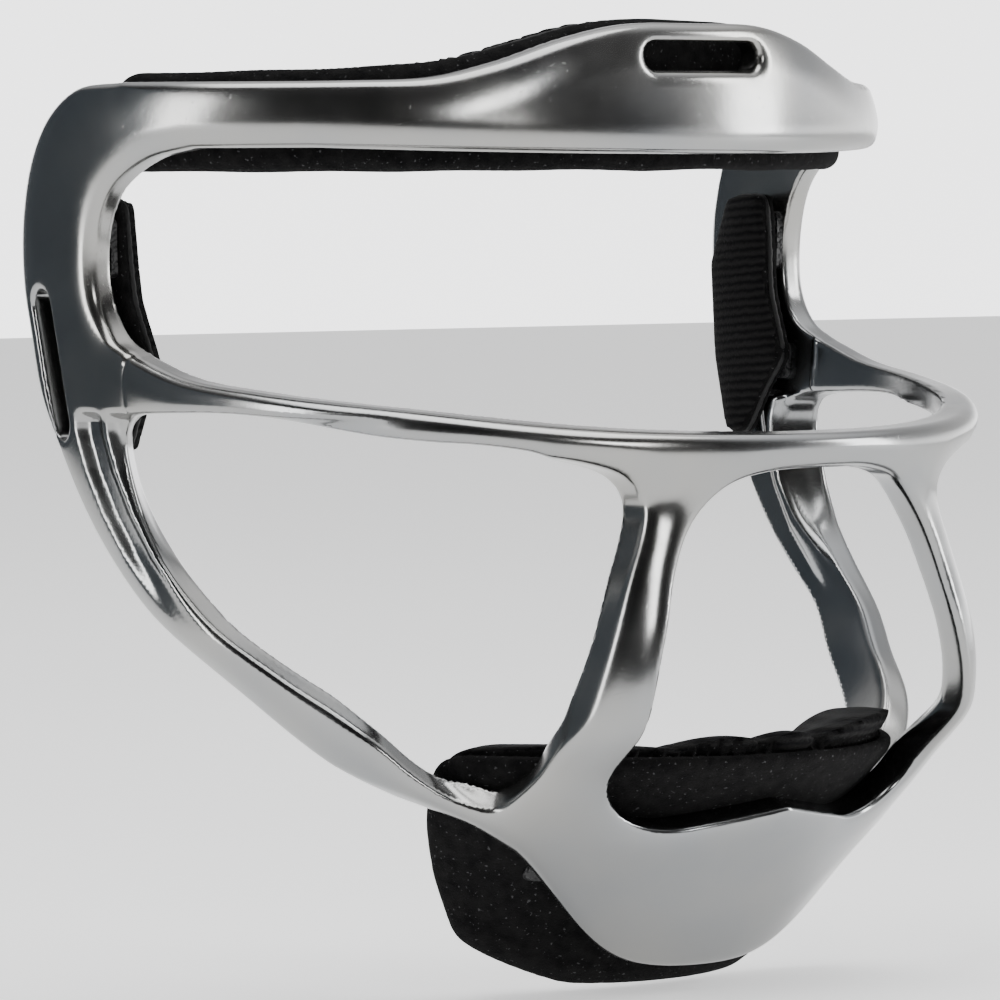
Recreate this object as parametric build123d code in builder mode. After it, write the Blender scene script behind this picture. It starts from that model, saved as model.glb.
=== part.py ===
"""Fielder's face mask: one cast metal frame with four removable pads.

The wearer looks along -Y, so the front of the mask is -Y, up is +Z, and X = 0 is the mirror plane.
The origin is on the mirror plane, level with the root of the eye bar at the temple.
All lengths are millimetres.

The frame is a curved wall: a stack of U-shaped level sections, each half an ellipse in front and
straight arms behind. Openings and outlines are cut through that wall. Hook strips and pads are
further layers of the same wall, so they nest in the frame with an even gap.
"""
import os
from functools import cache

from build123d import *

os.makedirs("parts", exist_ok=True)

# ---------------------------------------------------------------- driving dimensions
HOOK = 1.4             # thickness of a hook strip glued to the frame
GAP = 0.5              # clear space between the hook strips and the loop covers
CLOTH = 1.2            # thickness of loop cover, lining and binding
FOREHEAD_PAD = 13.0    # thickness of the forehead pad, covers included
TEMPLE_PAD = 6.2       # thickness of each temple pad
CHIN_PAD = 21.0        # thickness of the chin pad, measured level
BINDING = 2.4          # width of the seam binding round a pad's edge

REAR = -70.0           # how far back the layers run before they are cut, forward positive
SLOT_LENGTH = 27.5     # strap slot for 25 mm webbing, overall
SLOT_WIDTH = 5.4       # side strap slots
TOP_SLOT_WIDTH = 5.2
SIDE_SLOT = (-20.4, -2.4)      # centre of a side slot: forward, up
SIDE_SLOT_LEAN = 14.0          # degrees, the top of the slot leans back
TOP_SLOT_HEIGHT = 52.8

# Level sections of the wall: height, half width, forward reach, centre of the ellipse, thickness
SECTIONS = [
    (64, 88, 60, -20, 6),
    (48, 88.5, 61, -20, 6),
    (34, 88.5, 63, -19, 6),
    (18, 88.5, 78, -12, 6.5),
    (2, 88, 92, -3, 7),
    (-14, 87.5, 94.8, 0, 7.5),
    (-25, 86.4, 92.2, 0, 7.5),
    (-36, 85, 94.8, 0, 7),
    (-50, 82.8, 99.5, 0, 6.4),
    (-64, 76, 103, 0, 6.4),
    (-76, 72, 91, 0, 7.2),
    (-86, 69.5, 79.5, 0, 7.5),
    (-98, 63.5, 69, 0, 7),
    (-120, 57, 55, 0, 6),
]
LOFT_STEP = 8           # height between the lofted sections, which are taken evenly for a true loft

# Outlines seen from the side, as (forward, up)
REAR_EDGE = [(-4, 48.9), (-14.4, 47.4), (-22.8, 42.4), (-28, 34.8), (-30.8, 24), (-30.8, 12),
             (-29.2, 3), (-26.6, -8), (-22.2, -17), (-16.8, -27.5), (-10.2, -37), (-1.8, -45.8),
             (8, -53.4), (19.5, -62), (33, -71.3), (42, -76.2), (48, -78.4), (54, -82), (57.5, -88)]
EYE_TOP = [(110, 35), (62, 35), (30, 36.4), (11, 36.4)]
EYE_REAR = [(11, 36.4), (2, 34.2), (-6, 28.5), (-9.4, 20), (-9, 9), (-5, 2.6), (2, -1)]
EYE_BOTTOM = [(2, -1), (14, -4.6), (30, -6.8), (57, -9.8), (81, -13.2), (110, -16)]

# Outlines seen from the front, as (across, up), right half
BAND_TOP = [(0, 58.7), (16, 58.4), (28, 55.8), (40, 51.6), (50, 49), (62, 48.4), (95, 48.4)]
CHIN_BOTTOM = [(0, -112), (14.5, -110.7), (24.6, -106.2), (32.6, -98.6), (40.8, -90.6), (52.5, -82.6),
               (65.5, -74.5)]
MOUTH_TOP = [(0, -20.5), (11, -20.9), (19, -22.8), (24.2, -26.6), (28.6, -31.6), (32.2, -38),
             (35.8, -47), (38.5, -56), (40, -64.3)]
MOUTH_BOTTOM = [(40, -64.3), (39.4, -76.3), (35.8, -81.3), (29.2, -84.9), (22, -85.8), (13.5, -84.6),
                (0, -82.2)]

# The cheek opening is cut from two sides: square to the cheek at 45 degrees, as (along, up),
# and from the front beside the mouth bar, as (across, up)
CHEEK_TOP = [(-60, -11.2), (-38, -10.8), (-12, -14.4), (9, -16.2), (17, -17.4)]
CHEEK_FRONT_LIMIT = [(17, -17.4), (14, -72), (6, -80)]
CHEEK_JAW = [(6, -80), (-5, -75.6), (-15.6, -68.6), (-33, -58.4), (-46, -48.8), (-55, -37.5),
             (-60, -24), (-61.5, -15), (-60, -11.2)]
BAR_OUTSIDE = [(64, -15.6), (54.5, -17.2), (44.8, -19), (37.6, -21.8), (34.9, -26), (36.2, -31.6),
               (38.8, -38), (42, -46.5), (44.8, -56), (46.3, -64)]
BAR_LEG = [(46.3, -64), (48.4, -73), (50.7, -79.5), (53, -79), (56, -74), (64, -60), (64, -15.6)]

# Pads: corner points of each outline before it is cut from its layer
FOREHEAD_TOP = [(0, 59.6), (18, 59), (30, 56.2), (44, 52.9), (60, 51.4), (95, 50.4)]
FOREHEAD_BOTTOM = 32.2
FOREHEAD_END = -14.0   # how far back the ends of the forehead pad reach
TEMPLE_OUTLINE = [(-8.5, 27.6), (-20.5, 27.4), (-25, 14), (-22, -4), (-14.5, -21), (-8.5, -21),
                  (-2, -4), (-7.5, 10)]
CHIN_PAD_OUTLINE = [(46.5, -64), (38, -82), (35, -94), (35.5, -106), (43, -116), (50, -124),
                    (110, -124), (110, -64)]
CHIN_PAD_FRONT = [(53.5, -73), (55, -86), (49, -100), (38, -110.5), (20, -116), (-20, -116),
                  (-38, -110.5), (-49, -100), (-55, -86), (-53.5, -73)]
PAD_CORNER = 4.0       # corner radius of the pad outlines

# Hook strips: centre across or forward, centre up, width, height
FRONT_STRIPS = {
    "hook_strip_forehead_left": (-46, 42, 24, 8),
    "hook_strip_forehead_centre": (0, 42, 32, 8),
    "hook_strip_forehead_right": (46, 42, 24, 8),
    "hook_strip_chin_left": (-29, -90.5, 13, 9),
    "hook_strip_chin_centre": (0, -97, 30, 14),
    "hook_strip_chin_right": (29, -90.5, 13, 9),
}
TEMPLE_STRIPS = {"upper": (-16.5, 18.5, 13, 11), "lower": (-11, -5, 10, 7)}
STRIP_CORNER = 1.5

SIDE = Plane(origin=(0, 0, 0), x_dir=(0, -1, 0), z_dir=(-1, 0, 0))     # local axes: forward, up
FRONT = Plane.XZ                                                       # local axes: across, up
LEFT_CHEEK = Plane(origin=(0, 0, 0), x_dir=(1, -1, 0), z_dir=(-1, -1, 0))
FAR = 140.0            # longer than the mask in every direction


def mirrored(points):
    """A right-hand outline continued over the mirror plane, from left to right."""
    return [(-across, up) for across, up in reversed(points[1:])] + points


def wall_at(height):
    """Half width, reach, centre and thickness at any height: a monotone cubic through SECTIONS."""
    slopes = [[(b - a) / (low[0] - high[0]) for a, b in zip(high[1:], low[1:])]
              for high, low in zip(SECTIONS, SECTIONS[1:])]

    def tangent(at, item):
        if at in (0, len(slopes)):
            return slopes[min(at, len(slopes) - 1)][item]
        above, below = slopes[at - 1][item], slopes[at][item]
        return 2 * above * below / (above + below) if above * below > 0 else 0

    span = max(n for n, section in enumerate(SECTIONS[:-1]) if height <= section[0])
    high, low = SECTIONS[span], SECTIONS[span + 1]
    gap = low[0] - high[0]
    t = (height - high[0]) / gap
    return [(1 + 2 * t) * (1 - t) ** 2 * a + t * (1 - t) ** 2 * gap * tangent(span, item)
            + t * t * (3 - 2 * t) * b + t * t * (t - 1) * gap * tangent(span + 1, item)
            for item, (a, b) in enumerate(zip(high[1:], low[1:]))]


@cache
def inside_wall(depth, from_inner_face=True):
    """All that lies inside the wall's inner face, or its outer one, pulled in by depth."""
    with BuildPart(mode=Mode.PRIVATE) as inside:
        for height in range(SECTIONS[0][0], SECTIONS[-1][0] - 1, -LOFT_STEP):
            half_width, reach, centre, thickness = wall_at(height)
            inset = depth + thickness if from_inner_face else depth
            half = half_width - inset
            with BuildSketch(Plane.XY.offset(height)):
                with BuildLine():
                    EllipticalCenterArc((0, -centre), half, reach - inset - centre,
                                        start_angle=180, arc_size=180)
                    Polyline((half, -centre), (half, -REAR), (-half, -REAR), (-half, -centre))
                make_face()
        loft()
    return inside.part


def cutter(plane, *outline, both=True):
    """A prism square to plane from a chained outline: lists are splines, tuples are straight runs."""
    with BuildPart(mode=Mode.PRIVATE) as prism:
        with BuildSketch(plane):
            with BuildLine():
                for run in outline:
                    if isinstance(run, list):
                        Spline(*run)
                    else:
                        Polyline(*run)
            make_face()
        extrude(amount=FAR, both=both)
    return prism.part


def pad_cutter(plane, corners, inset):
    """A prism square to plane with rounded corners, its outline moved in by inset."""
    with BuildPart(mode=Mode.PRIVATE) as prism:
        with BuildSketch(plane) as outline:
            with BuildLine():
                Polyline(*corners, close=True)
            make_face()
            fillet(outline.vertices(), PAD_CORNER)
            if inset:
                offset(amount=-inset)
        extrude(amount=FAR, both=True)
    return prism.part


HALVES = {side: Pos(side * FAR / 2, 0, 0) * Box(FAR, 2 * FAR, 2 * FAR) for side in (-1, 1)}


# ---------------------------------------------------------------- the cast frame
OUTER = inside_wall(0, from_inner_face=False)
INNER = inside_wall(0)

behind_frame = cutter(SIDE, REAR_EDGE, (REAR_EDGE[-1], (57.5, -FAR), (-FAR, -FAR), (-FAR, FAR),
                                        (-4, FAR), REAR_EDGE[0]))
above_band = cutter(FRONT, mirrored(BAND_TOP), ((95, 48.4), (95, FAR), (-95, FAR), (-95, 48.4)))
below_chin = cutter(FRONT, mirrored(CHIN_BOTTOM), ((65.5, -74.5), (65.5, -FAR), (-65.5, -FAR),
                                                  (-65.5, -74.5)))
eye_opening = cutter(SIDE, tuple(EYE_TOP), EYE_REAR, EYE_BOTTOM, (EYE_BOTTOM[-1], EYE_TOP[0]))
mouth_opening = cutter(FRONT, mirrored(MOUTH_TOP), MOUTH_BOTTOM,
                       [(-across, up) for across, up in reversed(MOUTH_BOTTOM)])
left_cheek_opening = cutter(LEFT_CHEEK, CHEEK_TOP, tuple(CHEEK_FRONT_LIMIT), CHEEK_JAW, both=False)
right_bar_side = cutter(FRONT, BAR_OUTSIDE, tuple(BAR_LEG), both=False)

with BuildPart() as mask_frame:
    add(OUTER)
    add(INNER, mode=Mode.SUBTRACT)
    add(behind_frame, mode=Mode.SUBTRACT)
    add(above_band, mode=Mode.SUBTRACT)
    add(below_chin, mode=Mode.SUBTRACT)
    add(eye_opening, mode=Mode.SUBTRACT)
    add(mouth_opening, mode=Mode.SUBTRACT)
    add(left_cheek_opening, mode=Mode.SUBTRACT)
    add(mirror(left_cheek_opening, about=Plane.YZ), mode=Mode.SUBTRACT)
    add(right_bar_side, mode=Mode.SUBTRACT)
    add(mirror(right_bar_side, about=Plane.YZ), mode=Mode.SUBTRACT)
    with BuildSketch(SIDE):
        with Locations(SIDE_SLOT):
            SlotOverall(SLOT_LENGTH, SLOT_WIDTH, rotation=90 + SIDE_SLOT_LEAN)
    extrude(amount=FAR, both=True, mode=Mode.SUBTRACT)
    with BuildSketch(FRONT):
        with Locations((0, TOP_SLOT_HEIGHT)):
            SlotOverall(SLOT_LENGTH, TOP_SLOT_WIDTH)
    extrude(amount=FAR, mode=Mode.SUBTRACT)
mask_frame.part.label = "mask_frame"
export_step(mask_frame.part, "parts/mask_frame.step")


# ---------------------------------------------------------------- hook strips glued in the frame
hook_layer = INNER - inside_wall(HOOK)


def hook_strip(name, plane, place, keep=None):
    """One rounded rectangle of hook tape that follows the inside of the frame."""
    across, up, width, height = place
    with BuildPart() as strip:
        with BuildSketch(plane):
            with Locations((across, up)):
                RectangleRounded(width, height, STRIP_CORNER)
        extrude(amount=FAR, both=keep is not None)
        add(hook_layer, mode=Mode.INTERSECT)
        if keep is not None:
            add(HALVES[keep], mode=Mode.INTERSECT)
    strip.part.label = name
    export_step(strip.part, f"parts/{name}.step")


for name, place in FRONT_STRIPS.items():
    hook_strip(name, FRONT, place)
for side_name, side in (("left", -1), ("right", 1)):
    for level, place in TEMPLE_STRIPS.items():
        hook_strip(f"hook_strip_temple_{side_name}_{level}", SIDE, place, keep=side)


# ---------------------------------------------------------------- pads
PAD_FACE = HOOK + GAP       # depth of every pad's outer face below the frame's inner face


def crescent(near, far, prism, keep=None):
    """The layer between two depths, cut to a prism and, if asked, to one side of the mask."""
    with BuildPart(mode=Mode.PRIVATE) as body:
        add(inside_wall(near))
        add(inside_wall(far), mode=Mode.SUBTRACT)
        add(prism, mode=Mode.INTERSECT)
        if keep is not None:
            add(HALVES[keep], mode=Mode.INTERSECT)
    return body.part


def make_pad(name, thickness, outline_at, keep=None):
    """A pad as foam inside a loop cover, a skin-side lining and a seam binding between them.

    outline_at(inset) returns the prism that the pad is cut from its layer with.
    """
    near, far = PAD_FACE, PAD_FACE + thickness
    middle = (near + far) / 2
    whole = crescent(near, far, outline_at(0), keep)
    foam = crescent(near + CLOTH, far - CLOTH, outline_at(CLOTH), keep)
    front_zone = inside_wall(middle - BINDING / 2)
    back_zone = inside_wall(middle + BINDING / 2)
    with BuildPart() as core:
        add(foam)
    with BuildPart() as loop_cover:
        add(whole)
        add(foam, mode=Mode.SUBTRACT)
        add(front_zone, mode=Mode.SUBTRACT)
    with BuildPart() as seam_binding:
        add(whole)
        add(foam, mode=Mode.SUBTRACT)
        add(front_zone, mode=Mode.INTERSECT)
        add(back_zone, mode=Mode.SUBTRACT)
    with BuildPart() as lining:
        add(whole)
        add(foam, mode=Mode.SUBTRACT)
        add(back_zone, mode=Mode.INTERSECT)
    pieces = {"foam": core, "loop_cover": loop_cover, "seam_binding": seam_binding, "lining": lining}
    for piece_name, piece in pieces.items():
        piece.part.label = f"{name}_{piece_name}"
        export_step(piece.part, f"parts/{name}_{piece_name}.step")


def forehead_outline(inset):
    corners = mirrored(FOREHEAD_TOP) + [(95, FOREHEAD_BOTTOM), (-95, FOREHEAD_BOTTOM)]
    with BuildPart(mode=Mode.PRIVATE) as shortened:
        add(pad_cutter(FRONT, corners, inset))
        split(bisect_by=Plane.XZ.offset(FOREHEAD_END + inset), keep=Keep.TOP)
    return shortened.part


def temple_outline(inset):
    return pad_cutter(SIDE, TEMPLE_OUTLINE, inset)


def chin_outline(inset):
    with BuildPart(mode=Mode.PRIVATE) as both_views:
        add(pad_cutter(SIDE, CHIN_PAD_OUTLINE, inset))
        add(pad_cutter(FRONT, CHIN_PAD_FRONT, inset), mode=Mode.INTERSECT)
    return both_views.part


make_pad("forehead_pad", FOREHEAD_PAD, forehead_outline)
make_pad("temple_pad_left", TEMPLE_PAD, temple_outline, keep=-1)
make_pad("temple_pad_right", TEMPLE_PAD, temple_outline, keep=1)
make_pad("chin_pad", CHIN_PAD, chin_outline)
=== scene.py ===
import math

import bmesh
import bpy
import numpy as np
from mathutils import Matrix, Vector


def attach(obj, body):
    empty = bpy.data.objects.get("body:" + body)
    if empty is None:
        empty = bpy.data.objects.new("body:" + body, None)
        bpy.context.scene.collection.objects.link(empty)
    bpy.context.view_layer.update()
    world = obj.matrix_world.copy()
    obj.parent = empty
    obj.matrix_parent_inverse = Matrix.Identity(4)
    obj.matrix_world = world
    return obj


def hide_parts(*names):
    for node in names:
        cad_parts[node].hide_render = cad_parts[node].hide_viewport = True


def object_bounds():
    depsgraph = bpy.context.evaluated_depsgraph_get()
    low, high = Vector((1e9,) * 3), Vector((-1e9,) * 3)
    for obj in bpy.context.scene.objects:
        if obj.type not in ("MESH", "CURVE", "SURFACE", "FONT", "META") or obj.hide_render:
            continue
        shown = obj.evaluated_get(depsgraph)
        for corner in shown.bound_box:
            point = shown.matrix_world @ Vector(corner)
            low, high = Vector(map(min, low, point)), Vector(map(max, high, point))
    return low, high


# A fielder's face mask: a cast metal frame and four pads that pull off. x is across, the front is
# -y and z is up. The metal and the pads are each the zero level of a field of distances.
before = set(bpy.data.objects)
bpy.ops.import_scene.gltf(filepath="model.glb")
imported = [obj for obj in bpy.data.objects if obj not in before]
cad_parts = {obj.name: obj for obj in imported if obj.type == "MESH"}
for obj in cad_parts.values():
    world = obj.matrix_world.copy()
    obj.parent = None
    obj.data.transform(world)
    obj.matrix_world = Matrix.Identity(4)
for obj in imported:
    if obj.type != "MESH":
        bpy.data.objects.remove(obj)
cad_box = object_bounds()
MM = 0.001

# ---------------------------------------------------------------- the curved wall, in millimetres
# Level sections of the wall: height, half width, forward reach, centre of the ellipse, thickness.
# Ahead of its centre a section is half an ellipse; behind it the sides run straight back.
SECTIONS = np.array([
    (64.0, 88.0, 60.0, -20.0, 6.0),
    (48.0, 88.5, 61.0, -20.0, 6.0),
    (34.0, 88.5, 63.0, -19.0, 6.0),
    (18.0, 88.5, 78.0, -12.0, 6.5),
    (2.0, 88.0, 92.0, -3.0, 7.0),
    (-14.0, 87.5, 94.8, 0.0, 7.5),
    (-25.0, 86.4, 92.2, 0.0, 7.5),
    (-36.0, 85.0, 94.8, 0.0, 7.0),
    (-50.0, 82.8, 99.5, 0.0, 6.4),
    (-64.0, 76.0, 103.0, 0.0, 6.4),
    (-76.0, 72.0, 91.0, 0.0, 7.2),
    (-86.0, 69.5, 79.5, 0.0, 7.5),
    (-98.0, 63.5, 69.0, 0.0, 7.0),
    (-120.0, 57.0, 55.0, 0.0, 6.0),
])

# Outlines seen from the side, as (forward, up)
REAR_EDGE = [(-4, 48.9), (-14.4, 47.4), (-22.8, 42.4), (-28, 34.8), (-30.8, 24), (-30.8, 12), (-29.2, 3),
             (-26.6, -8), (-22.2, -17), (-16.8, -27.5), (-10.2, -37), (-1.8, -45.8), (8, -53.4),
             (19.5, -63), (33, -73.4), (42, -79), (48, -81.3), (54, -84), (57.5, -89)]
EYE_TOP = [(110, 35), (62, 35), (30, 36.4), (11, 36.4)]
EYE_REAR = [(11, 36.4), (2, 34.2), (-6, 28.5), (-9.4, 20), (-9, 9), (-5, 2.6), (2, -1)]
EYE_BOTTOM = [(2, -1), (14, -4.6), (30, -6.8), (57, -9.8), (81, -13.2), (110, -16)]

# Outlines seen from the front, as (across, up), right half
BAND_TOP = [(0, 58.7), (16, 58.4), (28, 55.8), (40, 51.6), (50, 49), (62, 48.4), (95, 48.4)]
CHIN_BOTTOM = [(0, -112), (14.5, -110.7), (24.6, -106.2), (32.6, -98.6), (40.8, -90.6), (52.5, -82.6),
               (65.5, -74.5)]
MOUTH_TOP = [(0, -20.5), (11, -20.9), (19, -22.8), (24.2, -26.6), (28.2, -31.6), (31.2, -38),
             (34.0, -47), (36.5, -56), (38, -65)]
MOUTH_BOTTOM = [(38, -65), (37.5, -75.6), (34.2, -80.4), (28.2, -84), (21.5, -85.2), (13.5, -84.2),
                (0, -82)]

# The cheek opening, seen from 45 degrees to the front, as (along, up)
CHEEK_TOP = [(-60, -11.2), (-38, -10.8), (-12, -14.4), (9, -16.2), (17, -17.4)]
CHEEK_FRONT_LIMIT = [(17, -17.4), (14, -72), (6.5, -81)]
CHEEK_JAW = [(6.5, -81), (-5, -75.8), (-15.6, -68.6), (-33, -58.4), (-46, -48.8), (-55, -37.5),
             (-60, -24), (-61.5, -15), (-60, -11.2)]
# The room outside a mouth bar, seen from the front: down the bar's outer side and back up
BAR_OUTSIDE = [(64, -15.6), (54.5, -17.2), (44.8, -19), (37.6, -21.8), (34.9, -26), (36.2, -31.6),
               (38.8, -38), (42, -46.5), (44.8, -56), (46.3, -64)]
BAR_LEG = [(46.3, -64), (48.4, -73), (50.9, -80.8), (55.5, -77.6), (60, -72), (64, -64)]


def spline(points, per_span=24):
    """A smooth curve through points: centripetal Catmull-Rom."""
    p = np.array(points, float)
    ends = np.vstack([2 * p[0] - p[1], p, 2 * p[-1] - p[-2]])
    out = []
    for i in range(1, len(ends) - 2):
        a, b, c, d = ends[i - 1:i + 3]
        t0 = 0.0
        t1 = t0 + np.linalg.norm(b - a) ** 0.5
        t2 = t1 + np.linalg.norm(c - b) ** 0.5
        t3 = t2 + np.linalg.norm(d - c) ** 0.5
        t = np.linspace(t1, t2, per_span, endpoint=False)[:, None]
        a1 = (t1 - t) / (t1 - t0) * a + (t - t0) / (t1 - t0) * b
        a2 = (t2 - t) / (t2 - t1) * b + (t - t1) / (t2 - t1) * c
        a3 = (t3 - t) / (t3 - t2) * c + (t - t2) / (t3 - t2) * d
        b1 = (t2 - t) / (t2 - t0) * a1 + (t - t0) / (t2 - t0) * a2
        b2 = (t3 - t) / (t3 - t1) * a2 + (t - t1) / (t3 - t1) * a3
        out.append((t2 - t) / (t2 - t1) * b1 + (t - t1) / (t2 - t1) * b2)
    return np.vstack(out + [p[-1:]])


def mirrored(points):
    return [(-x, z) for x, z in reversed(points[1:])] + list(points)


class Outline:
    """Signed distance to a closed outline, kept on a fine grid; positive inside.

    Repeated averaging rounds the outline's corners, more for a larger soften.
    """

    def __init__(self, loop, low, high, step=0.5, soften=1.0):
        self.low = np.array(low, float)
        self.step = step
        nx, nz = (int((h - l) / step) + 2 for l, h in zip(low, high))
        gx = low[0] + step * np.arange(nx)
        gz = low[1] + step * np.arange(nz)
        px, pz = np.meshgrid(gx, gz, indexing="ij")
        best = np.full(px.shape, 1e9)
        inside = np.zeros(px.shape, bool)
        loop = np.asarray(loop, float)
        for (ax, az), (bx, bz) in zip(loop, np.roll(loop, -1, axis=0)):
            ex, ez = bx - ax, bz - az
            length2 = ex * ex + ez * ez
            if length2 < 1e-12:
                continue
            t = np.clip(((px - ax) * ex + (pz - az) * ez) / length2, 0, 1)
            best = np.minimum(best, (px - ax - t * ex) ** 2 + (pz - az - t * ez) ** 2)
            if az != bz:
                crosses = (az > pz) != (bz > pz)
                inside ^= crosses & (px < ax + (pz - az) * ex / ez)
        field = np.sqrt(best)
        field[~inside] *= -1
        for _ in range(int(soften / step)):
            for axis in (0, 1):
                pad = [(1, 1) if k == axis else (0, 0) for k in (0, 1)]
                wide = np.pad(field, pad, mode="edge")
                if axis == 0:
                    field = (wide[:-2] + 2 * wide[1:-1] + wide[2:]) / 4
                else:
                    field = (wide[:, :-2] + 2 * wide[:, 1:-1] + wide[:, 2:]) / 4
        self.field = field

    def __call__(self, u, v):
        x = np.clip((u - self.low[0]) / self.step, 0, self.field.shape[0] - 1.001)
        z = np.clip((v - self.low[1]) / self.step, 0, self.field.shape[1] - 1.001)
        i, j = x.astype(int), z.astype(int)
        fx, fz = x - i, z - j
        f = self.field
        return ((f[i, j] * (1 - fx) + f[i + 1, j] * fx) * (1 - fz)
                + (f[i, j + 1] * (1 - fx) + f[i + 1, j + 1] * fx) * fz)


def smax(a, b, k):
    """The larger of two fields, with the crease between them rounded over k millimetres."""
    h = np.maximum(k - np.abs(a - b), 0) / k
    return np.maximum(a, b) + h * h * k / 4


FAR = 150.0          # well outside the mask, where outlines close
rear_loop = np.vstack([spline(REAR_EDGE), [(57.5, -FAR), (FAR, -FAR), (FAR, FAR), (-4, FAR)]])
eye_loop = np.vstack([EYE_TOP, spline(EYE_REAR), spline(EYE_BOTTOM)])
band_loop = np.vstack([spline(mirrored(BAND_TOP)),
                       [(FAR, 48.4), (FAR, -FAR), (-FAR, -FAR), (-FAR, 48.4)]])
chin_loop = np.vstack([spline(mirrored(CHIN_BOTTOM)), [(65.5, -FAR), (-65.5, -FAR)]])
mouth_right = np.vstack([spline(MOUTH_TOP), spline(MOUTH_BOTTOM)])
mouth_loop = np.vstack([mouth_right, mouth_right[::-1] * (-1, 1)])
cheek_loop = np.vstack([spline(CHEEK_TOP), CHEEK_FRONT_LIMIT, spline(CHEEK_JAW)])
bar_loop = np.vstack([spline(BAR_OUTSIDE), BAR_LEG])

SIDE_VIEW = ((-45, -130), (115, 75))        # lowest and highest corner of each view's grid
FRONT_VIEW = ((-100, -130), (100, 75))
rear_of = Outline(rear_loop, *SIDE_VIEW)
eye_of = Outline(eye_loop, *SIDE_VIEW)
band_of = Outline(band_loop, *FRONT_VIEW)
chin_of = Outline(chin_loop, *FRONT_VIEW)
mouth_of = Outline(mouth_loop, *FRONT_VIEW)
cheek_of = Outline(cheek_loop, (-90, -130), (60, 75), soften=14)
bar_of = Outline(bar_loop, (0, -130), (100, 75), soften=14)

heights = np.linspace(SECTIONS[-1, 0], SECTIONS[0, 0], 737)
rows = np.diff(SECTIONS[::-1], axis=0)
table = []
for column in (1, 2, 3, 4):
    known, slope = SECTIONS[::-1, column], rows[:, column] / rows[:, 0]
    below, above = slope[:-1], slope[1:]
    total = np.where(below + above == 0, 1, below + above)
    inner = np.where(below * above > 0, 2 * below * above / total, 0)
    tangent = np.concatenate([slope[:1], inner, slope[-1:]])
    at = np.clip(np.searchsorted(SECTIONS[::-1, 0], heights, "right") - 1, 0, len(known) - 2)
    gap = rows[at, 0]
    t = (heights - SECTIONS[::-1, 0][at]) / gap
    table.append((1 + 2 * t) * (1 - t) ** 2 * known[at] + t * (1 - t) ** 2 * gap * tangent[at]
                 + t * t * (3 - 2 * t) * known[at + 1] + t * t * (t - 1) * gap * tangent[at + 1])
SMOOTHING = 1.1        # spread of the bell that takes the last kinks out of the wall, in millimetres
kernel = np.exp(-0.5 * (np.arange(-12, 13) * 0.25 / SMOOTHING) ** 2)
kernel /= kernel.sum()
table = np.stack([np.convolve(np.pad(row, 12, mode="reflect", reflect_type="odd"), kernel, "valid")
                  for row in table])


def wall_at(z):
    """Half width, forward reach, centre of the ellipse and thickness of the wall at a height."""
    at = np.clip((z - heights[0]) / (heights[1] - heights[0]), 0, len(heights) - 1.001)
    low = at.astype(int)
    part = at - low
    return [row[low] * (1 - part) + row[low + 1] * part for row in table]


def depth_fields(x, y, z):
    """Distance inside the wall's outer face (positive inwards), and the wall's thickness there."""
    thickness = wall_at(z)[3]

    def level(xx, yy, zz):
        h, r, c, _ = wall_at(zz)
        ahead = np.maximum(-yy - c, 0) / (r - c)
        return np.sqrt((xx / h) ** 2 + ahead ** 2)

    g = level(x, y, z)
    step = 0.5
    gx = (level(x + step, y, z) - level(x - step, y, z)) / (2 * step)
    gy = (level(x, y + step, z) - level(x, y - step, z)) / (2 * step)
    gz = (level(x, y, z + step) - level(x, y, z - step)) / (2 * step)
    slope = np.sqrt(gx * gx + gy * gy + gz * gz)
    return (1 - g) / slope, thickness


def bevelled(edge, depth, width, angle, k=1.6):
    """A cut face at edge = 0 with a bevel of the given width towards the outer face.

    edge is positive inside the metal, and the angle in degrees is the bevel's slope.
    """
    a = math.radians(angle)
    bevel = (width - edge) * math.sin(a) - depth * math.cos(a)
    return smax(-edge, bevel, k)


def smooth(value, low, high):
    """An eased step from 0 at low to 1 at high."""
    t = np.clip((value - low) / (high - low), 0, 1)
    return t * t * (3 - 2 * t)


OUTSIDE = -20          # an opening's value where its outline doesn't apply
# Half the straight length and the end radius of the harness slots, and where they lie
SIDE_SLOT_MIDDLE = (-21.7, -2.8)
SIDE_SLOT_HALF, SIDE_SLOT_RADIUS, SIDE_SLOT_LEAN = 11.05, 2.7, 12
TOP_SLOT_HALF, TOP_SLOT_RADIUS, TOP_SLOT_HEIGHT = 11.15, 2.6, 52.8


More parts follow.
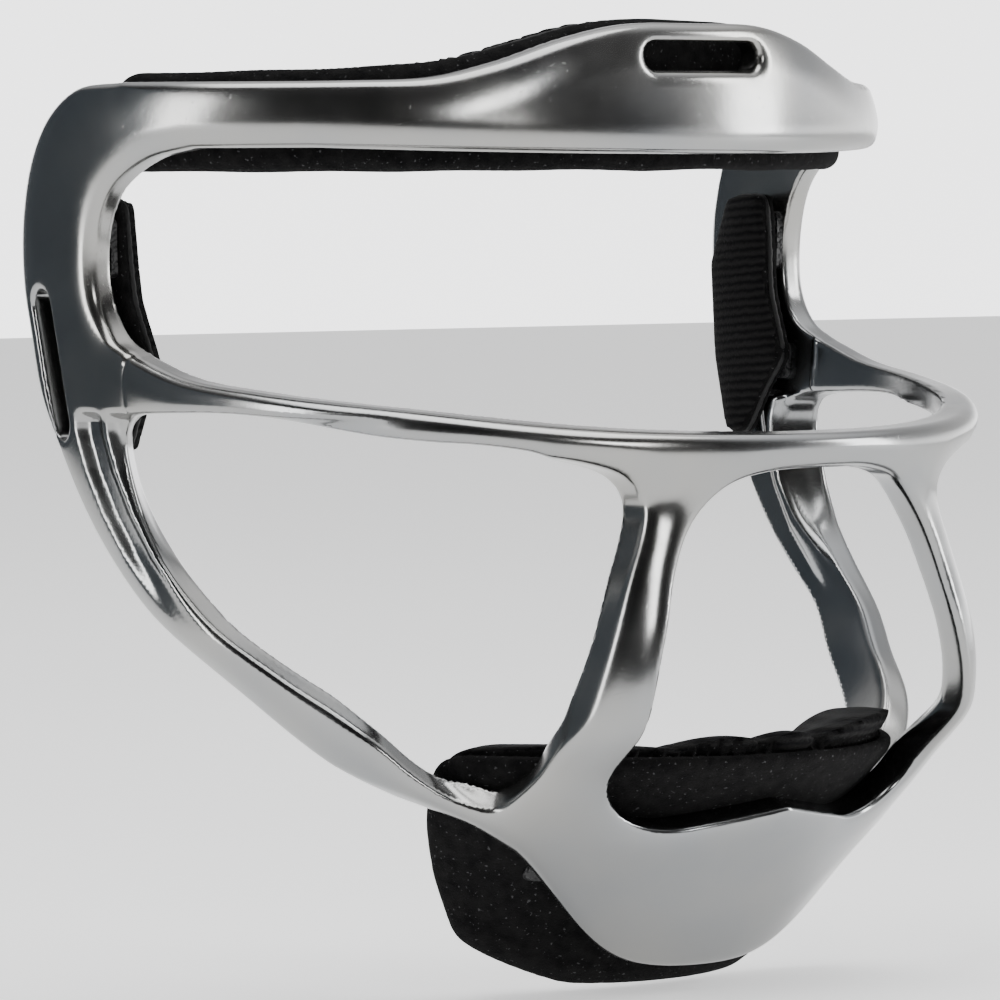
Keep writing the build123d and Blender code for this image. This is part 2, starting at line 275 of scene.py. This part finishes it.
def frame_field(x, y, z):
    """Negative inside the metal, positive outside, close to a distance in millimetres."""
    depth, thickness = depth_fields(x, y, z)
    ahead = -y
    x = np.abs(x)

    # the rear edge is cut square to the wall, so its outline is read at the wall's outer face
    half, reach, centre, _ = wall_at(z)
    lean_x = x / half ** 2
    lean_f = np.maximum(ahead - centre, 0) / (reach - centre) ** 2
    size = np.hypot(lean_x, lean_f) + 1e-9
    flat_ahead = ahead + np.clip(depth, -3, 12) * lean_f / size

    # below the shelf at the root of the eye bar a flute with a low ridge in it runs down the jaw bar;
    # the parting line is above the shelf
    start = np.interp(z, (-54, -45.5, -37, -29.4, -21.5, -14.5, 0),
                      (13, 3.9, -3.6, -8.4, -12.0, -14.0, -14.4))
    across = ahead - start
    strength = smooth(z, -54, -34) * smooth(-z, 10.6, 12.4) * smooth(x, 68, 76)
    flute = 1.9 * smooth(across, -0.6, 3.0) - 1.3 * np.exp(-((across - 8.0) / 1.7) ** 2)
    depth = depth - strength * flute
    beside = smooth(z, -11.5, -10.5) * smooth(-z, -1, 0.5) * smooth(x, 70, 78)
    parting = np.exp(-((ahead - 0.6) / 0.35) ** 2) * beside
    depth = depth - 0.35 * parting

    # the wall, cut by its outlines; the chin plate's upper edge rises towards the inside
    f = smax(-depth, depth - thickness, 1.5)
    f = smax(f, bevelled(-eye_of(ahead, z), depth, width=3.2, angle=26), 1.0)
    f = smax(f, bevelled(rear_of(flat_ahead, z), depth, width=4.6, angle=20), 1.2)
    f = smax(f, bevelled(band_of(x, z), depth, width=4.5, angle=20), 1.2)
    f = smax(f, bevelled(-chin_of(x, z), depth, width=3.0, angle=12), 1.2)
    mouth = mouth_of(x, z) - np.clip(depth, 0, 10) * 0.3 * smooth(-z, 62, 82)
    f = smax(f, bevelled(-mouth, depth, width=2.5, angle=24), 1.2)

    # the cheek opening joined with the room beside the mouth bar, more roundly where they meet low
    beside_cheek = np.where(ahead + x > 20, cheek_of((ahead - x) * math.sqrt(0.5), z), OUTSIDE)
    beside_bar = np.where(ahead > 25, bar_of(x, z), OUTSIDE)
    cheek = smax(beside_cheek, beside_bar, 1.5 + 6 * smooth(-z, 45, 65))
    # the jaw's upper face leans up towards the inside
    jaw = smooth((x - ahead) * math.sqrt(0.5), -15, 0) * smooth(-z, 22, 46)
    cheek = cheek - np.clip(depth, 0, 10) * 0.55 * jaw
    f = smax(f, bevelled(-cheek, depth, width=1.8, angle=18), 1.4)

    # the slots for the harness: the side ones lean back, the top one lies level
    lean = math.radians(SIDE_SLOT_LEAN)
    su, sv = ahead - SIDE_SLOT_MIDDLE[0], z - SIDE_SLOT_MIDDLE[1]
    along = -su * math.sin(lean) + sv * math.cos(lean)
    across = su * math.cos(lean) + sv * math.sin(lean)
    slot = SIDE_SLOT_RADIUS - np.hypot(np.maximum(np.abs(along) - SIDE_SLOT_HALF, 0), across)
    f = smax(f, bevelled(-slot, depth, width=1.0, angle=35, k=1.0), 0.8)
    top_slot = TOP_SLOT_RADIUS - np.hypot(np.maximum(x - TOP_SLOT_HALF, 0), z - TOP_SLOT_HEIGHT)
    top_slot = np.where(ahead > 0, top_slot, OUTSIDE)
    f = smax(f, bevelled(-top_slot, depth, width=1.4, angle=35, k=1.0), 0.8)
    return f


def surface_net(field, low, step):
    """Quads on the zero level of a sampled field, one vertex for each cell that it crosses."""
    sign = field < 0
    cells = tuple(n - 1 for n in field.shape)
    corners = [(i, j, k) for i in (0, 1) for j in (0, 1) for k in (0, 1)]
    cut = [sign[i:i + cells[0], j:j + cells[1], k:k + cells[2]] for i, j, k in corners]
    total = sum(c.astype(np.int8) for c in cut)
    where = np.argwhere((total > 0) & (total < 8))
    index = np.full(cells, -1, np.int64)
    index[tuple(where.T)] = np.arange(len(where))
    # a cell's vertex is the mean of the places where the surface crosses the cell's edges
    place = np.zeros((len(where), 3))
    count = np.zeros(len(where))
    base = where.T
    value = {c: field[base[0] + c[0], base[1] + c[1], base[2] + c[2]] for c in corners}
    for a in corners:
        for axis in range(3):
            if a[axis]:
                continue
            b = tuple(1 if n == axis else a[n] for n in range(3))
            fa, fb = value[a], value[b]
            crossed = (fa < 0) != (fb < 0)
            t = np.where(crossed, fa / np.where(crossed, fa - fb, 1), 0)
            for n in range(3):
                place[:, n] += np.where(crossed, a[n] + (t if n == axis else 0), 0)
            count += crossed
    points = (where + place / count[:, None]) * step + low
    # a quad goes round each grid edge that the surface crosses
    quads = []
    for axis in range(3):
        u, v = [n for n in range(3) if n != axis]
        lo = [slice(1, -1)] * 3
        hi = [slice(1, -1)] * 3
        lo[axis] = slice(0, -1)
        hi[axis] = slice(1, None)
        a, b = sign[tuple(lo)], sign[tuple(hi)]
        edge = np.argwhere(a != b)
        start = edge + [0 if n == axis else 1 for n in range(3)]
        outward = a[tuple(edge.T)]
        ring = []
        for du, dv in ((1, 1), (0, 1), (0, 0), (1, 0)):
            cell = start.copy()
            cell[:, u] -= du
            cell[:, v] -= dv
            ring.append(index[tuple(cell.T)])
        ring = np.stack(ring, 1)
        turn = outward if axis != 1 else ~outward
        ring[~turn] = ring[~turn][:, ::-1]
        quads.append(ring)
    return points, np.vstack(quads)


def field_mesh(name, field_of, low, high, step):
    """A smooth closed mesh of a field's zero level.

    The field is sampled finely only near its surface. The net's vertices are evened out and pulled
    on to the true zero level, and the mesh keeps the field's own normals.
    """
    block = 4          # cells along the side of one coarse block
    shape = [block * int(math.ceil((h - l) / (block * step))) + 1 for l, h in zip(low, high)]
    axes = [l + step * np.arange(n) for l, n in zip(low, shape)]
    middles = np.meshgrid(*[a[block // 2::block] for a in axes], indexing="ij")
    rough = field_of(*[m.ravel() for m in middles]).reshape([n // block for n in shape])
    near = np.abs(rough) < block * step * 1.6

    def spread(blocks):
        full = np.repeat(np.repeat(np.repeat(blocks, block, 0), block, 1), block, 2)
        return np.pad(full, [(0, 1)] * 3, mode="edge")

    field, wanted = spread(rough), spread(near)
    place = np.argwhere(wanted)
    field[wanted] = field_of(*(place * step + np.array(low)).T)
    points, quads = surface_net(field, np.array(low), step)

    def gradient(p, e=0.25):
        return np.stack([(field_of(*(p + d).T) - field_of(*(p - d).T)) / (2 * e)
                         for d in np.eye(3) * e], 1)

    one = quads.ravel()
    other = np.roll(quads, -1, axis=1).ravel()
    pair_a, pair_b = np.concatenate([one, other]), np.concatenate([other, one])
    valence = np.bincount(pair_a, minlength=len(points))[:, None]
    for settle in (0.6, 0.6, 0.5, 0.4, 0.0):       # the last pass only pulls, without evening out
        around = np.stack([np.bincount(pair_a, points[pair_b, k], len(points)) for k in range(3)], 1)
        around /= valence
        points += settle * (around - points)
        g = gradient(points)
        f = field_of(*points.T)
        move = -(f / np.maximum((g * g).sum(1), 1e-6))[:, None] * g
        length = np.linalg.norm(move, axis=1, keepdims=True)
        points += move * np.minimum(1, 0.4 * step / np.maximum(length, 1e-9))
    normals = gradient(points, 0.5)
    normals /= np.linalg.norm(normals, axis=1, keepdims=True)
    mesh = bpy.data.meshes.new(name)
    mesh.from_pydata((points * MM).tolist(), [], quads.tolist())
    mesh.shade_smooth()
    mesh.normals_split_custom_set_from_vertices(normals.tolist())
    mesh.update()
    piece = bpy.data.objects.new(name, mesh)
    bpy.context.scene.collection.objects.link(piece)
    return piece


step = 0.8
metal = field_mesh("cast_frame", frame_field, (-91, -104, -115), (91, 33, 62), step)
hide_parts("mask_frame")
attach(metal, "frame")


# ---------------------------------------------------------------- the pads, in millimetres
PAD_FACE = 1.9       # from the frame's inner face to a pad's outer face, over the hook strips
FOREHEAD_TOP = [(0, 59.6), (18, 58.8), (30, 55.6), (44, 52.0), (60, 50.6), (95, 49.8)]
TEMPLE = [(-10, 27.6), (-20.5, 27.4), (-25, 14), (-22.5, -4), (-18, -19.5), (-13, -19.5),
          (-8.5, -11), (-3.2, -4), (-8.3, 9)]
CHIN_SIDE = [(46.5, -62), (39.5, -80), (34.5, -94), (32.5, -106), (38.5, -117), (46, -125), (110, -125),
             (110, -62)]
CHIN_FRONT = [(53.5, -71.5), (55, -86), (49.5, -100), (39, -110.5), (20, -116), (-20, -116), (-39, -110.5),
              (-49.5, -100), (-55, -86), (-53.5, -71.5)]

forehead_of = Outline(np.vstack([spline(mirrored(FOREHEAD_TOP)), [(95, 32.2), (-95, 32.2)]]),
                      (-100, 20), (100, 70), soften=1.5)
temple_of = Outline(TEMPLE, (-35, -40), (20, 40), soften=3.0)
chin_side_of = Outline(CHIN_SIDE, (20, -130), (115, -60), soften=6.0)
chin_front_of = Outline(CHIN_FRONT, (-70, -130), (70, -60), soften=6.0)


def layer_depth(x, y, z):
    """Depth below the wall's inner face, measured as the wall's sections are pulled in evenly."""
    half, reach, centre, thickness = wall_at(z)
    ahead = np.maximum(-y - centre, 0)
    depth = np.zeros_like(x)
    for _ in range(3):          # three steps of Newton's method
        a = np.maximum(half - depth, 5)
        b = np.maximum(reach - depth - centre, 5)
        g = np.sqrt((x / a) ** 2 + (ahead / b) ** 2) + 1e-9
        slope = (x * x / a ** 3 + ahead ** 2 / b ** 3) / g
        depth = depth + (1 - g) / np.maximum(slope, 1e-4)
    return depth - thickness


def depth_in_pad(x, y, z):
    """Depth below a pad's outer face."""
    return layer_depth(x, y, z) - PAD_FACE


def cushion(edge, layer, thickness, front_radius, back_radius, crown, seam, groove=0.9):
    """A stuffed layer: rounded over both edges, crowned on the skin side and drawn in along its seam."""
    full = np.clip(edge / 14, 0, 1)
    thick = thickness - crown * (1 - full) ** 2
    middle = thick / 2
    radius = np.where(layer < seam, front_radius, back_radius)
    across = radius - edge
    over = np.abs(layer - middle) - (middle - radius)
    rounded = np.hypot(np.maximum(across, 0), np.maximum(over, 0))
    f = np.minimum(np.maximum(across, over), 0) + rounded - radius
    return f + groove * np.exp(-((layer - seam) / 0.9) ** 2)


def forehead_field(x, y, z):
    layer = depth_in_pad(x, y, z)
    edge = -smax(-forehead_of(x, z), -(-y + 14), 6)          # the ends are 14 mm behind the origin
    wave = 0.35 * np.sin(x * 0.21) * np.sin(y * 0.17 + 1)
    return cushion(edge + wave * 0.5, layer, thickness=12.6, front_radius=4.0, back_radius=5.5,
                   crown=1.6, seam=6.0)


def temple_field(side):
    def field(x, y, z):
        layer = depth_in_pad(x, y, z)
        edge = temple_of(-y, z)
        swell = np.sqrt(np.clip(1 - (1 - np.clip(edge / 8.5, 0, 1)) ** 2, 0, 1))
        thick = 2.4 + 3.0 * swell
        f = cushion(edge, layer, thick, front_radius=1.0, back_radius=1.3, crown=0.0, seam=1.9,
                    groove=0.5)
        return np.maximum(f, 5 - side * x)          # nothing on the mask's other side
    return field


def chin_field(x, y, z):
    layer = depth_in_pad(x, y, z)
    edge = -smax(-chin_side_of(-y, z), -chin_front_of(x, z), 8)
    lobes = 0.0          # the swellings along the upper edge: middle, half width and height
    for centre, half, lift in ((-34, 15, 1.4), (-13, 7.5, 2.8), (-0.5, 6, 3.2), (27, 22, 5.0)):
        lobes = lobes + lift * np.clip(1 - ((x - centre) / half) ** 2, 0, 1) ** 0.6
    # they are only on the skin side of the seam, and fade out below the upper edge
    behind = np.clip((layer - 5.2) / 1.6, 0, 1)
    near_top = np.clip((z + 88) / 12, 0, 1)
    edge = edge + lobes * behind * near_top
    return cushion(edge, layer, thickness=20.6, front_radius=4.0, back_radius=7.0, crown=3.0,
                   seam=5.0, groove=1.0)


def seam_loop(piece, field, level):
    """The closed line in which a layer depth crosses a mesh, as ordered points in millimetres."""
    mesh = piece.data
    co = np.array([v.co for v in mesh.vertices]) / MM
    value = field(*co.T) - level
    links = {}
    points = {}
    for face in mesh.polygons:
        ring = list(face.vertices)
        cuts = []
        for a, b in zip(ring, ring[1:] + ring[:1]):
            if (value[a] < 0) != (value[b] < 0):
                key = (min(a, b), max(a, b))
                t = value[a] / (value[a] - value[b])
                points[key] = co[a] + t * (co[b] - co[a])
                cuts.append(key)
        if len(cuts) == 2:
            links.setdefault(cuts[0], []).append(cuts[1])
            links.setdefault(cuts[1], []).append(cuts[0])
    # every closed line is followed, and the longest is kept
    best = []
    left = set(links)
    while left:
        start = min(left)
        line, here, before = [start], start, None
        while True:
            left.discard(here)
            onward = [k for k in links[here] if k != before and (k in left or k == start)]
            if not onward or onward[0] == start:
                break
            before, here = here, onward[0]
            line.append(here)
        if len(line) > len(best):
            best = line
    # averaging takes out the small steps that the mesh leaves
    line = np.array([points[k] for k in best])
    for _ in range(6):
        line = (np.roll(line, 1, 0) + 2 * line + np.roll(line, -1, 0)) / 4
    return line


def piping(name, line, radius, spacing=0.9):
    """A round binding swept along a closed line, with the slight pinch of each stitch."""
    length = np.concatenate([[0], np.cumsum(np.linalg.norm(np.roll(line, -1, 0) - line, axis=1))])
    count = int(length[-1] / spacing)
    at = np.linspace(0, length[-1], count, endpoint=False)
    closed = np.vstack([line, line[:1]])
    path = np.stack([np.interp(at, length, closed[:, k]) for k in range(3)], 1)
    along = np.roll(path, -1, 0) - np.roll(path, 1, 0)
    along /= np.linalg.norm(along, axis=1, keepdims=True)
    # each ring starts from a level direction, tilted a little for where the line runs straight up
    side = np.cross(along, (0.0, 0.0, 1.0)) + np.cross(along, (0.31, 0.2, 0.0)) * 0.05
    side /= np.linalg.norm(side, axis=1, keepdims=True)
    up = np.cross(side, along)
    # a stitch pinches every third ring
    pinch = 1 - 0.18 * np.cos(np.arange(count) * 2 * np.pi / 3) ** 8
    ring = 10
    turns = np.arange(ring) * 2 * np.pi / ring
    rim = (np.cos(turns)[None, :, None] * side[:, None]
           + np.sin(turns)[None, :, None] * up[:, None])
    verts = path[:, None] + radius * pinch[:, None, None] * rim
    quads = [(i * ring + j, i * ring + (j + 1) % ring, (i + 1) % count * ring + (j + 1) % ring,
              (i + 1) % count * ring + j) for i in range(count) for j in range(ring)]
    mesh = bpy.data.meshes.new(name)
    mesh.from_pydata((verts.reshape(-1, 3) * MM).tolist(), [], quads)
    mesh.shade_smooth()
    obj = bpy.data.objects.new(name, mesh)
    bpy.context.scene.collection.objects.link(obj)
    return obj


TUCK = 0.3          # how far a skin's rim goes into the cover


def skin_of(cover, name, field, level, lift):
    """The part of a cushion deeper than a level, lifted off it as a fabric with a tucked rim."""
    skin = bpy.data.objects.new(name, cover.data.copy())
    bpy.context.scene.collection.objects.link(skin)
    bm = bmesh.new()
    bm.from_mesh(skin.data)
    co = np.array([v.co for v in bm.verts]) / MM
    value = field(*co.T)
    bm.verts.ensure_lookup_table()
    gone = [f for f in bm.faces if min(value[v.index] for v in f.verts) < level]
    bmesh.ops.delete(bm, geom=gone, context="FACES")
    bm.normal_update()
    for v in bm.verts:
        v.co += v.normal * (-TUCK if v.is_boundary else lift) * MM
    bm.to_mesh(skin.data)
    bm.free()
    skin.data.name = name
    return skin


def make_pad(name, field, low, high, step, seam, piping_radius):
    """The three pieces of a pad: a stuffed cover, the skin over its inner side and the piping."""
    cover = field_mesh(f"{name}_cover", field, low, high, step)
    line = seam_loop(cover, depth_in_pad, seam)
    skin = skin_of(cover, f"{name}_skin", depth_in_pad, seam + 0.5, 0.35)
    edge = piping(f"{name}_piping", line, piping_radius)
    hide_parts(f"{name}_foam", f"{name}_loop_cover")
    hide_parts(f"{name}_lining")
    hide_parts(f"{name}_seam_binding")
    for piece, slot in ((cover, "loop_cloth"), (skin, "lining_knit"), (edge, "binding")):
        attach(piece, name)
    return cover, skin, edge


fine = 1.0
pads = {
    "forehead_pad": make_pad("forehead_pad", forehead_field, (-84, -62, 26), (84, 17, 64),
                             step=fine, seam=6.0, piping_radius=0.7),
    "temple_pad_left": make_pad("temple_pad_left", temple_field(-1), (-84, -8, -26), (-60, 29, 31),
                                step=fine, seam=1.9, piping_radius=0.55),
    "temple_pad_right": make_pad("temple_pad_right", temple_field(1), (60, -8, -26), (84, 29, 31),
                                 step=fine, seam=1.9, piping_radius=0.55),
    "chin_pad": make_pad("chin_pad", chin_field, (-60, -90, -119), (60, -30, -66),
                         step=fine * 1.1, seam=5.0, piping_radius=0.7),
}


# ---------------------------------------------------------------- materials
class Graph:
    """A little help for building node trees."""

    def __init__(self, name):
        self.mat = bpy.data.materials.new(name)
        self.mat.use_nodes = True
        self.tree = self.mat.node_tree
        self.shader = self.tree.nodes["Principled BSDF"]
        self.coords = self.node("ShaderNodeTexCoord").outputs["Object"]

    def node(self, kind, **values):
        node = self.tree.nodes.new(kind)
        for key, value in values.items():
            if hasattr(node, key):
                setattr(node, key, value)
            else:
                node.inputs[key.replace("_", " ")].default_value = value
        return node

    def link(self, a, b):
        self.tree.links.new(a, b)

    def noise(self, scale, detail, roughness=0.5):
        noise = self.node("ShaderNodeTexNoise", Scale=scale, Detail=detail, Roughness=roughness)
        self.link(self.coords, noise.inputs["Vector"])
        return noise.outputs["Fac"]

    def ramp(self, value, stops):
        ramp = self.node("ShaderNodeValToRGB")
        items = ramp.color_ramp.elements
        while len(items) < len(stops):
            items.new(0.5)
        for item, (at, grey) in zip(items, stops):
            item.position = at
            item.color = (grey, grey, grey, 1)
        self.link(value, ramp.inputs["Fac"])
        return ramp.outputs["Color"]

    def spread(self, value, low, high, from_low=0.3, from_high=0.7):
        node = self.node("ShaderNodeMapRange")
        numbers = {"From Min": from_low, "From Max": from_high, "To Min": low, "To Max": high}
        for key, number in numbers.items():
            node.inputs[key].default_value = number
        self.link(value, node.inputs["Value"])
        return node.outputs["Result"]

    def mix(self, factor, a, b):
        node = self.node("ShaderNodeMix", data_type="RGBA")
        self.link(factor, node.inputs["Factor"])
        for socket, item in zip([n for n in node.inputs if n.type == "RGBA"], (a, b)):
            if isinstance(item, tuple):
                socket.default_value = (*item, 1)
            else:
                self.link(item, socket)
        return [n for n in node.outputs if n.type == "RGBA"][0]

    def bump(self, heights):
        """heights: (value, strength, distance) one over another."""
        normal = None
        for value, strength, distance in heights:
            bump = self.node("ShaderNodeBump", Strength=strength, Distance=distance)
            self.link(value, bump.inputs["Height"])
            if normal is not None:
                self.link(normal, bump.inputs["Normal"])
            normal = bump.outputs["Normal"]
        self.link(normal, self.shader.inputs["Normal"])

    def set(self, **values):
        for key, value in values.items():
            socket = self.shader.inputs[key.replace("_", " ")]
            if isinstance(value, (int, float)):
                socket.default_value = value
            else:
                self.link(value, socket)


def cast_metal():
    g = Graph("cast_metal_polished")
    cloud = g.noise(28, 4)
    g.set(Metallic=1.0,
          Base_Color=g.mix(g.spread(cloud, 0, 1), (0.27, 0.28, 0.29), (0.33, 0.325, 0.31)),
          Roughness=g.spread(g.noise(60, 5), 0.15, 0.24))
    pits = g.ramp(g.noise(1400, 2), [(0.0, 0.0), (0.26, 0.0), (0.30, 1.0), (1.0, 1.0)])
    g.bump([(g.noise(110, 3), 0.05, 0.0006), (g.noise(700, 2), 0.03, 0.0002), (pits, 0.12, 0.0001)])
    return g.mat


def loop_cloth():
    g = Graph("brushed_loop_cloth")
    fuzz = g.noise(2600, 4, roughness=0.75)
    clump = g.noise(420, 4)
    specks = g.ramp(g.noise(1500, 1), [(0.0, 0.0), (0.69, 0.0), (0.74, 1.0), (1.0, 1.0)])
    base = g.mix(g.spread(clump, 0, 1), (0.003, 0.003, 0.0033), (0.010, 0.0098, 0.0098))
    g.set(Base_Color=g.mix(specks, base, (0.06, 0.06, 0.062)), Roughness=0.95, Sheen_Weight=0.02,
          Sheen_Roughness=0.5, Specular_IOR_Level=0.04)
    g.bump([(clump, 0.5, 0.0008), (fuzz, 0.9, 0.0005)])
    return g.mat


def lining_knit():
    g = Graph("ribbed_knit_lining")
    mapping = g.node("ShaderNodeMapping")
    mapping.inputs["Rotation"].default_value = (0.09, 0.0, 0.0)
    g.link(g.coords, mapping.inputs["Vector"])
    ribs = g.node("ShaderNodeTexWave", wave_type="BANDS", bands_direction="Z", Scale=195, Distortion=1.2,
                  Detail=2.0)
    ribs.inputs["Detail Scale"].default_value = 3.0
    g.link(mapping.outputs["Vector"], ribs.inputs["Vector"])
    weave = g.noise(2300, 3)
    # the ribs' colour is lighter on their raised crests and darker in the grooves between them: painted
    # shade
    shade = g.spread(ribs.outputs["Fac"], 0, 1, 0, 1)
    g.set(Base_Color=g.mix(shade, (0.003, 0.003, 0.0035), (0.012, 0.0118, 0.0118)), Roughness=0.86,
          Sheen_Weight=0.02, Sheen_Roughness=0.45, Specular_IOR_Level=0.06)
    g.bump([(ribs.outputs["Fac"], 0.85, 0.0005), (weave, 0.5, 0.0003)])
    return g.mat


def binding_tape():
    g = Graph("binding_tape")
    weave = g.noise(1800, 2)
    g.set(Base_Color=g.mix(g.spread(weave, 0, 1), (0.002, 0.002, 0.0023), (0.006, 0.006, 0.0063)),
          Roughness=0.6, Specular_IOR_Level=0.35)
    g.bump([(weave, 0.5, 0.0003)])
    return g.mat


def hook_tape():
    g = Graph("hook_tape")
    dots = g.node("ShaderNodeTexVoronoi", Scale=900)
    g.link(g.coords, dots.inputs["Vector"])
    near = g.ramp(dots.outputs["Distance"], [(0.0, 1.0), (0.35, 0.6), (0.6, 0.0)])
    shade = g.spread(g.noise(500, 2), 0, 1)
    g.set(Base_Color=g.mix(shade, (0.004, 0.004, 0.0043), (0.009, 0.009, 0.0093)), Roughness=0.45)
    g.bump([(near, 0.8, 0.0006)])
    return g.mat


looks = {"cast_metal": cast_metal(), "loop_cloth": loop_cloth(), "lining_knit": lining_knit(),
         "binding": binding_tape(), "hook_tape": hook_tape()}


def dress(piece, look):
    piece.data.materials.clear()
    piece.data.materials.append(looks[look])


dress(metal, "cast_metal")
for cover, skin, edge in pads.values():
    dress(cover, "loop_cloth")
    dress(skin, "lining_knit")
    dress(edge, "binding")
for name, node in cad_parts.items():
    if name.startswith("hook_strip"):
        dress(node, "hook_tape")


# ---------------------------------------------------------------- camera, floor and light
def camera():
    azimuth, elevation, roll = math.radians(40), math.radians(2.73), math.radians(-0.18)
    scale = 88 / 84          # the mask's half width over the one that the view was worked out with
    target = Vector((-32.4, -40.0, -25.7)) * scale * MM
    distance = 1206 * scale * MM
    back = Vector((-math.sin(azimuth) * math.cos(elevation), -math.cos(azimuth) * math.cos(elevation),
                   math.sin(elevation)))
    cam = bpy.data.cameras.new("camera")
    cam.sensor_width = 36
    cam.lens = 7.024 * cam.sensor_width          # a long lens, seven picture widths
    cam.clip_end = 20
    obj = bpy.data.objects.new("camera", cam)
    obj.rotation_mode = "QUATERNION"
    obj.location = target + back * distance
    turn = (-back).to_track_quat("-Z", "Y")
    obj.rotation_quaternion = turn @ Matrix.Rotation(roll, 3, "Z").to_quaternion()
    bpy.context.scene.collection.objects.link(obj)
    bpy.context.scene.camera = obj


camera()


def area_light(name, place, size, power):
    """A rectangular light that faces the mask; place and size in metres."""
    light = bpy.data.lights.new(name, "AREA")
    light.shape = "RECTANGLE"
    light.size, light.size_y = size
    light.energy = power
    obj = bpy.data.objects.new(name, light)
    obj.location = place
    obj.rotation_mode = "QUATERNION"
    obj.rotation_quaternion = (-Vector(place)).to_track_quat("-Z", "Y")
    bpy.context.scene.collection.objects.link(obj)


area_light("overhead", (-0.15, -0.1, 1.25), size=(1.3, 0.9), power=17)
area_light("left_box", (-1.5, 0.15, 0.35), size=(0.35, 1.0), power=9)
area_light("right_box", (1.25, -0.9, 0.45), size=(0.45, 0.9), power=12)
area_light("front_strip", (-0.55, -1.9, 0.75), size=(0.5, 0.35), power=6)

# the surroundings: grey by height, and stronger towards +x and a little to the back
world = bpy.data.worlds.new("studio")
bpy.context.scene.world = world
world.use_nodes = True
tree = world.node_tree
direction = tree.nodes.new("ShaderNodeTexCoord")
split = tree.nodes.new("ShaderNodeSeparateXYZ")
tree.links.new(direction.outputs["Generated"], split.inputs[0])
sky = tree.nodes.new("ShaderNodeValToRGB")
stops = [(0.0, 0.9), (0.49, 0.95), (0.53, 0.9), (0.60, 0.28), (0.78, 0.18), (0.9, 0.6), (1.0, 0.9)]
while len(sky.color_ramp.elements) < len(stops):
    sky.color_ramp.elements.new(0.5)
for item, (at, grey) in zip(sky.color_ramp.elements, stops):
    item.position = at
    item.color = (grey, grey, grey * 1.01, 1)
height = tree.nodes.new("ShaderNodeMath")
height.operation = "MULTIPLY_ADD"
height.inputs[1].default_value = 0.5
height.inputs[2].default_value = 0.5
tree.links.new(split.outputs["Z"], height.inputs[0])
tree.links.new(height.outputs[0], sky.inputs["Fac"])
tree.links.new(sky.outputs["Color"], tree.nodes["Background"].inputs["Color"])
side = tree.nodes.new("ShaderNodeVectorMath")
side.operation = "DOT_PRODUCT"
side.inputs[1].default_value = (0.9, 0.43, 0.0)
tree.links.new(direction.outputs["Generated"], side.inputs[0])
power = tree.nodes.new("ShaderNodeMapRange")
power.interpolation_type = "SMOOTHSTEP"
for key, number in (("From Min", -0.3), ("From Max", 0.9), ("To Min", 0.10), ("To Max", 3.4)):
    power.inputs[key].default_value = number
tree.links.new(side.outputs["Value"], power.inputs["Value"])
tree.links.new(power.outputs["Result"], tree.nodes["Background"].inputs["Strength"])


def stage_sheet(name, corners, look, **values):
    """A single flat face with its own plain material."""
    mesh = bpy.data.meshes.new(name)
    mesh.from_pydata(corners, [], [(0, 1, 2, 3)])
    sheet = bpy.data.objects.new(name, mesh)
    bpy.context.scene.collection.objects.link(sheet)
    mat = bpy.data.materials.new(look)
    mat.use_nodes = True
    for key, value in values.items():
        mat.node_tree.nodes["Principled BSDF"].inputs[key.replace("_", " ")].default_value = value
    mesh.materials.append(mat)
    return sheet


# the floor lies just below the mask and glows a little, so the ground stays white
floor = stage_sheet("floor", [(-4, -4, 0), (4, -4, 0), (4, 4, 0), (-4, 4, 0)], "floor_white",
                    Base_Color=(0.9, 0.9, 0.9, 1), Roughness=0.7, Emission_Color=(1, 1, 1, 1),
                    Emission_Strength=0.6)
floor.location.z = cad_box[0][2] - 0.0015

# a dark card behind the left side for the metal to reflect, hidden from the camera
card = stage_sheet("dark_card", [(-0.35, 0, -0.11), (0.35, 0, -0.11), (0.35, 0, 0.42), (-0.35, 0, 0.42)],
                   "card_slate", Base_Color=(0.05, 0.06, 0.07, 1), Roughness=0.9)
card.location = (-0.30, 0.36, 0.0)
card.rotation_euler = (0.0, 0.0, math.radians(40))
card.visible_camera = False
